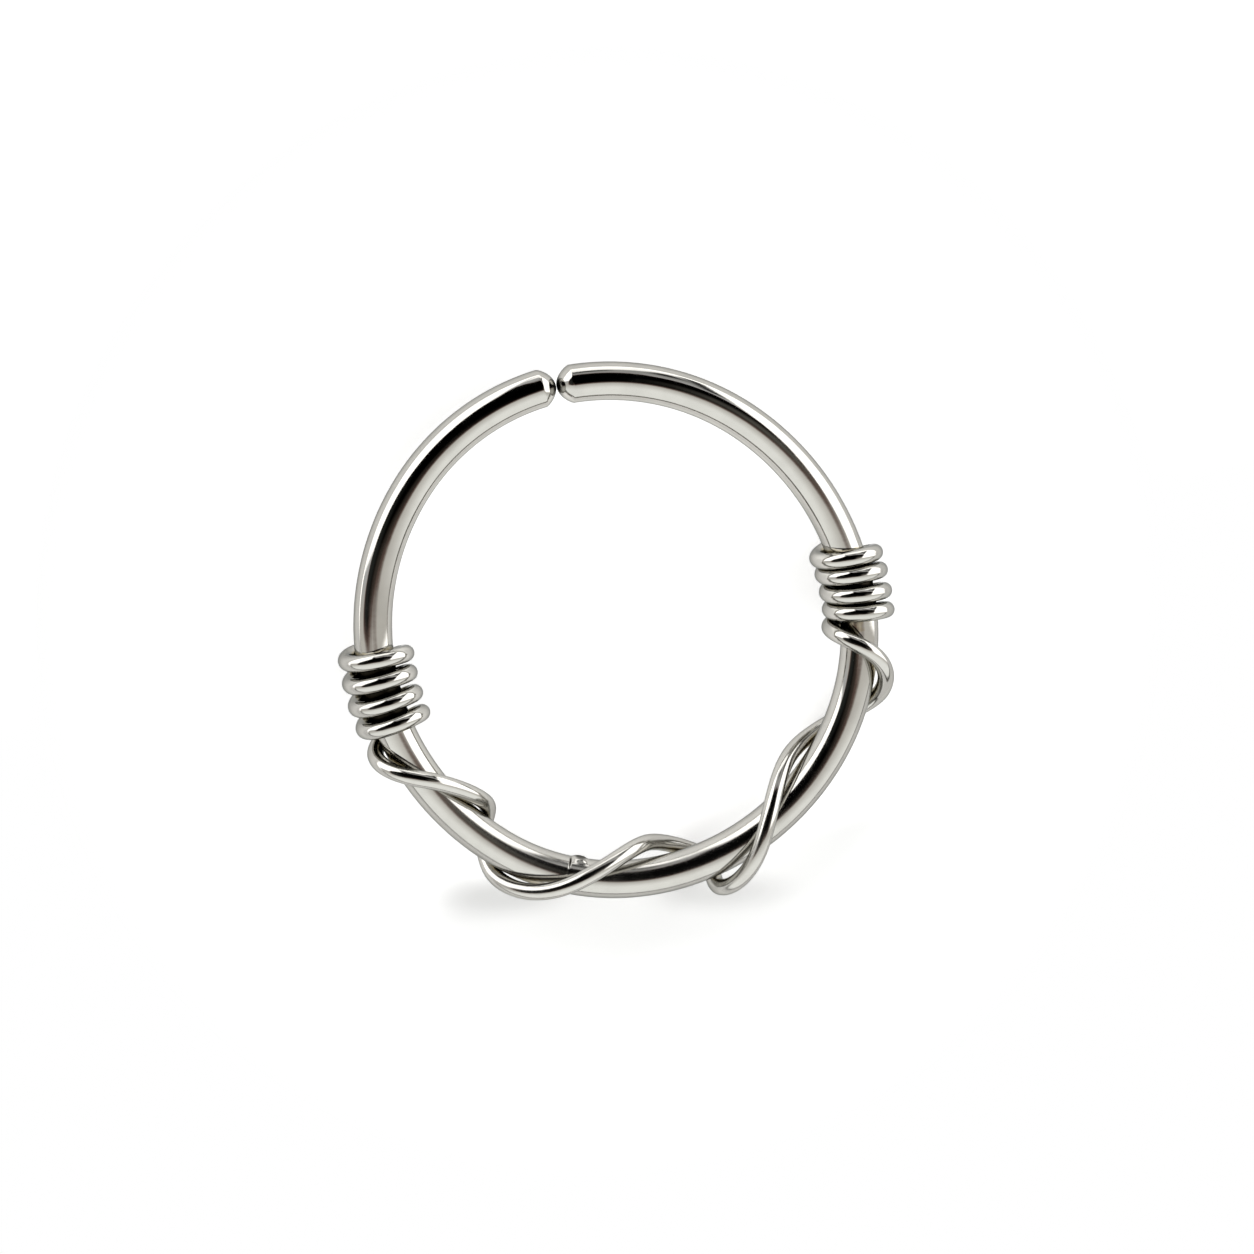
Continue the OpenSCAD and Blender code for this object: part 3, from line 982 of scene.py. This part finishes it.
class RING_OT_stage(bpy.types.Operator):
    """Set up the floor, the studio light and the camera"""

    bl_idname = "ring.stage"
    bl_label = "Studio"

    def execute(self, context):
        finish = context.scene.ring_finish
        self.floor(context, finish)
        self.studio(context.scene, finish)
        self.camera(context.scene, context.scene.ring_hoop)
        return {"FINISHED"}

    def floor(self, context, finish):
        """A pale floor lit from above, glowing from below, with painted pools of light round the ring and
        painted soft shadows under it.
        """
        nothing_selected()
        bpy.ops.mesh.primitive_plane_add(size=FLOOR_SIZE, location=(0.0, 0.0, 0.0))
        floor = context.object
        floor.name = "pale_floor"
        material = bpy.data.materials.new("pale_floor_paper")
        nodes = Shader(material)
        spot = nodes.out("ShaderNodeTexCoord", "Object")
        tooth = nodes.noise(spot, *FLOOR_TOOTH)
        flat = nodes.vector("MULTIPLY", spot, (1 / MM, 1 / MM, 0.0))
        reach = nodes.vector("LENGTH", flat, flat, "Value")
        up = nodes.vector("DOT_PRODUCT", flat, FLOOR_UP, "Value")
        far = nodes.step(reach, *FAR_FROM)
        base = nodes.blend(tooth, rgba(finish.floor_colour, TOOTH_SHADE), rgba(finish.floor_colour))
        base = nodes.blend(far, base, rgba(BLACK))
        # Painted light: pools inside the ring's halves, round it and far behind its top, left out of a band
        # below it
        pool = nodes.step(reach, *POOL_FROM) * nodes.step(reach, *POOL_HOLE_FROM) * nodes.step(up, *POOL_UP)
        inside = nodes.step(reach, *INSIDE_FROM) * nodes.step(up, *INSIDE_UP)
        back = nodes.step(reach, *BACK_FROM) * nodes.step(up, *BACK_UP)
        below = nodes.step(up, *BELOW_UP) * nodes.step(reach, *BELOW_FROM)
        below = below * nodes.step(reach, *BELOW_HOLE_FROM)
        near = nodes.step(reach, *NEAR_FROM) * (1 - below)
        glow = finish.floor_glow + far * finish.floor_far + near * finish.floor_near
        glow = glow + pool * finish.floor_pool + inside * finish.floor_inside + back * finish.floor_back
        # Painted soft shadows below the ring
        for at_x, at_y in SHADOWS:
            off = nodes.vector("SUBTRACT", flat, (at_x, at_y, 0.0))
            off = nodes.vector("MULTIPLY", off, (1 / SHADOW_WIDE, 1 / SHADOW_DEEP, 0.0))
            shadow = nodes.step(nodes.vector("LENGTH", off, off, "Value"), *SHADOW_FADE)
            glow = glow * (1 - SHADOW_DARK * shadow)
        surface = {
            "Base Color": base,
            "Roughness": FLOOR_ROUGH,
            "Specular IOR Level": 0.0,
            "Emission Color": nodes.blend(glow / BRIGHTEST_GLOW, rgba(BLACK), rgba(WHITE)),
            "Emission Strength": BRIGHTEST_GLOW,
        }
        shader = nodes.out("ShaderNodeBsdfPrincipled", "BSDF", None, surface)
        nodes.add("ShaderNodeOutputMaterial", None, {"Surface": shader})
        floor.data.materials.append(material)

    def studio(self, scene, finish):
        """The table and the room round the ring, soft panels, and the dark space round the camera."""
        world = bpy.data.worlds.new("studio")
        scene.world = world
        nodes = Shader(world)
        way = nodes.out("ShaderNodeTexCoord", "Generated")
        across = nodes.vector("DOT_PRODUCT", way, VIEW_RIGHT, "Value")
        up = nodes.vector("DOT_PRODUCT", way, VIEW_UP, "Value")
        back = nodes.vector("DOT_PRODUCT", way, VIEW_BACK, "Value")
        rise = nodes.vector("DOT_PRODUCT", way, (0.0, 0.0, 1.0), "Value")
        angle = back.maths("ARCCOSINE", back) * (180 / pi)
        flat = (across * across + up * up + TINY) ** 0.5
        right = angle * across / flat
        above = angle * up / flat
        near = nodes.step(above, *NEAR_TABLE_ABOVE)
        table = nodes.blend(near, rgba(finish.table_far), rgba(finish.table_near))
        table = self.patch(nodes, table, rise, above, TABLE_EDGE)
        light = nodes.blend(nodes.step(above, *ROOM_ABOVE), table, rgba(finish.room))
        for _, at_right, at_above, half_w, half_h, soft, grey in PANELS:
            inside = nodes.step(abs(right - at_right), half_w + soft, half_w - soft)
            inside = inside * nodes.step(abs(above - at_above), half_h + soft, half_h - soft)
            light = nodes.blend(inside, light, rgba((grey, grey, grey)))
        light = self.dark_space(nodes, light, right, above)
        glow = nodes.out("ShaderNodeBackground", "Background", None, {"Color": light, "Strength": 1.0})
        nodes.add("ShaderNodeOutputWorld", None, {"Surface": glow})
        scene.view_settings.view_transform = "Standard"
        scene.view_settings.look = "None"

    def dark_space(self, nodes, light, right, above):
        """The dark space round the camera, with a brown edge and three paler patches."""
        off_right, off_above = right - DARK_MIDDLE[0], above - DARK_MIDDLE[1]
        turn = off_above.maths("ARCTAN2", off_above, off_right) / (2 * pi) + 1.0
        turn = turn.maths("FRACT", turn)
        stops = [(at / 360, reach / OUTLINE_SCALE) for at, reach in DARK_OUTLINE]
        edge = nodes.out("ShaderNodeValToRGB", "Color", {"stops": stops}, {"Fac": turn}) * OUTLINE_SCALE
        out = (off_right * off_right + off_above * off_above + TINY) ** 0.5 - edge
        out = out / (DARK_SOFT + DARK_SOFT_MORE * nodes.step(above, *DARK_SOFT_ABOVE))
        light = nodes.blend(nodes.step(out, *BROWN_EDGE), light, rgba(BROWN))
        dark = self.patch(nodes, rgba(BLACK), right, above, RIGHT_PATCH)
        dark = self.patch(nodes, dark, right, above, LEFT_PATCH)
        dark = self.patch(nodes, dark, abs(right - LOW_PATCH_AT), above, LOW_PATCH)
        return nodes.blend(nodes.step(out, *DARK_EDGE), light, dark)

    def patch(self, nodes, under, sideways, above, patch):
        """A soft patch of colour over what lies under it."""
        sideways_zone, above_zone, colour = patch
        share = nodes.step(sideways, *sideways_zone) * nodes.step(above, *above_zone)
        return nodes.blend(share, under, rgba(colour))

    def camera(self, scene, hoop):
        data = bpy.data.cameras.new("camera")
        data.sensor_width = FILM_WIDTH
        data.lens = LENS
        data.clip_start = NEAREST_SEEN
        camera = bpy.data.objects.new("camera", data)
        scene.collection.objects.link(camera)
        turn = Matrix((VIEW_RIGHT, VIEW_UP, VIEW_BACK)).transposed().to_4x4()
        place = PICTURE_MIDDLE[0] * VIEW_RIGHT + PICTURE_MIDDLE[1] * VIEW_UP + CAMERA_AWAY * VIEW_BACK
        camera.matrix_world = Matrix.Translation(place * MM + Vector((0.0, 0.0, hoop.height))) @ turn
        scene.camera = camera


class RING_PT_panel(bpy.types.Panel):
    """Steps of the ring"""

    bl_idname = "RING_PT_panel"
    bl_label = "Twisted hoop ring"
    bl_space_type = "VIEW_3D"
    bl_region_type = "UI"
    bl_category = "Hoop ring"

    def draw(self, context):
        for operator in STEPS:
            self.layout.operator(operator.bl_idname)
        for group in (context.scene.ring_hoop, context.scene.ring_wrap, context.scene.ring_finish):
            column = self.layout.column()
            for name in group.__annotations__:
                column.prop(group, name)


STEPS = (RING_OT_hoop, RING_OT_wrap, RING_OT_stage)
GROUPS = (("ring_hoop", RingHoopSizes), ("ring_wrap", RingWrapSizes), ("ring_finish", RingFinish))


def register():
    for _, group in GROUPS:
        bpy.utils.register_class(group)
    for step in STEPS + (RING_PT_panel,):
        bpy.utils.register_class(step)
    for name, group in GROUPS:
        setattr(bpy.types.Scene, name, bpy.props.PointerProperty(type=group))


def unregister():
    for name, _ in GROUPS:
        delattr(bpy.types.Scene, name)
    for step in (RING_PT_panel,) + STEPS[::-1]:
        bpy.utils.unregister_class(step)
    for _, group in GROUPS[::-1]:
        bpy.utils.unregister_class(group)


def main():
    register()
    bpy.ops.ring.hoop()
    bpy.ops.ring.wrap()
    bpy.ops.ring.stage()


if __name__ == "__main__":
    main()
